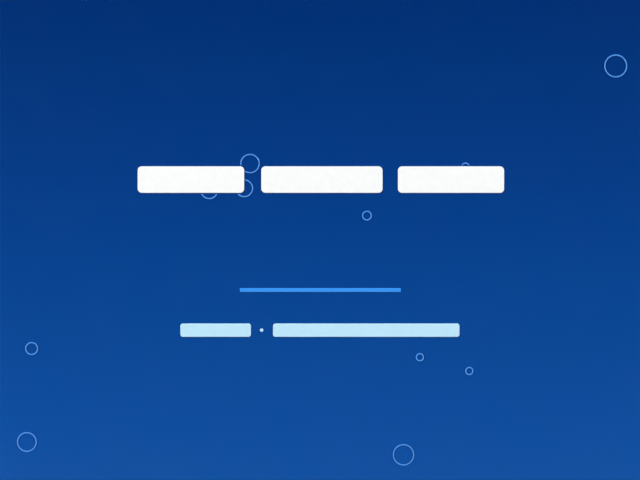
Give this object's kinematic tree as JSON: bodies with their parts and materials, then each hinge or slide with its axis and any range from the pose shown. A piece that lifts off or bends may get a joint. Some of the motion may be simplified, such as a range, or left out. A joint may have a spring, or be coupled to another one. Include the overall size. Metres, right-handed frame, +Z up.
{
  "type": "display card with folding strut",
  "caption": "Landscape display card on a folding board strut, leaning slightly back, with a raised print of plain bars, a short line and thin bubble rings.",
  "frame": {"origin": "middle of the footprint, on the surface that the card stands on", "axes": "+Z up; the printed face looks along -Y and a little up; +X is to the right of someone facing the print; the strut stands behind, towards +Y"},
  "size_m": [0.2, 0.0716, 0.1473],
  "materials": {
    "printed_sheet": "satin",
    "grey_board": "matte",
    "liner_paper": "matte",
    "strut_board": "matte",
    "white_ink": "satin",
    "pale_blue_ink": "satin",
    "bright_blue_ink": "satin",
    "ring_blue_ink": "satin"
  },
  "bodies": {
    "card": {"card_print": "printed_sheet", "card_board": "grey_board", "card_liner": "liner_paper", "title_bar_1": "white_ink", "title_bar_2": "white_ink", "title_bar_3": "white_ink", "accent_line": "bright_blue_ink", "caption_bar_1": "pale_blue_ink", "caption_bar_2": "pale_blue_ink", "caption_dot": "pale_blue_ink", "ring_top_right": "ring_blue_ink", "ring_title_above": "ring_blue_ink", "ring_title_left": "ring_blue_ink", "ring_title_below": "ring_blue_ink", "ring_title_right": "ring_blue_ink", "ring_middle": "ring_blue_ink", "ring_left_small": "ring_blue_ink", "ring_left_low": "ring_blue_ink", "ring_bottom": "ring_blue_ink", "ring_caption_near": "ring_blue_ink", "ring_caption_far": "ring_blue_ink", "stand_flap": "strut_board"},
    "wing": {"stand_wing": "strut_board"},
    "lock_tab": {"stand_lock_tab": "strut_board"}
  },
  "joints": [
    {"name": "wing_fold", "type": "hinge", "parent": "card", "child": "wing", "pos_m": [0, -0.01668, 0.06803], "axis": [0, 0.2079, 0.9781], "range_deg": [0, 90]},
    {"name": "tab_fold", "type": "hinge", "parent": "card", "child": "lock_tab", "pos_m": [0.009, -0.02208, 0.0426], "axis": [1, 0, 0], "range_deg": [0, 90]}
  ]
}
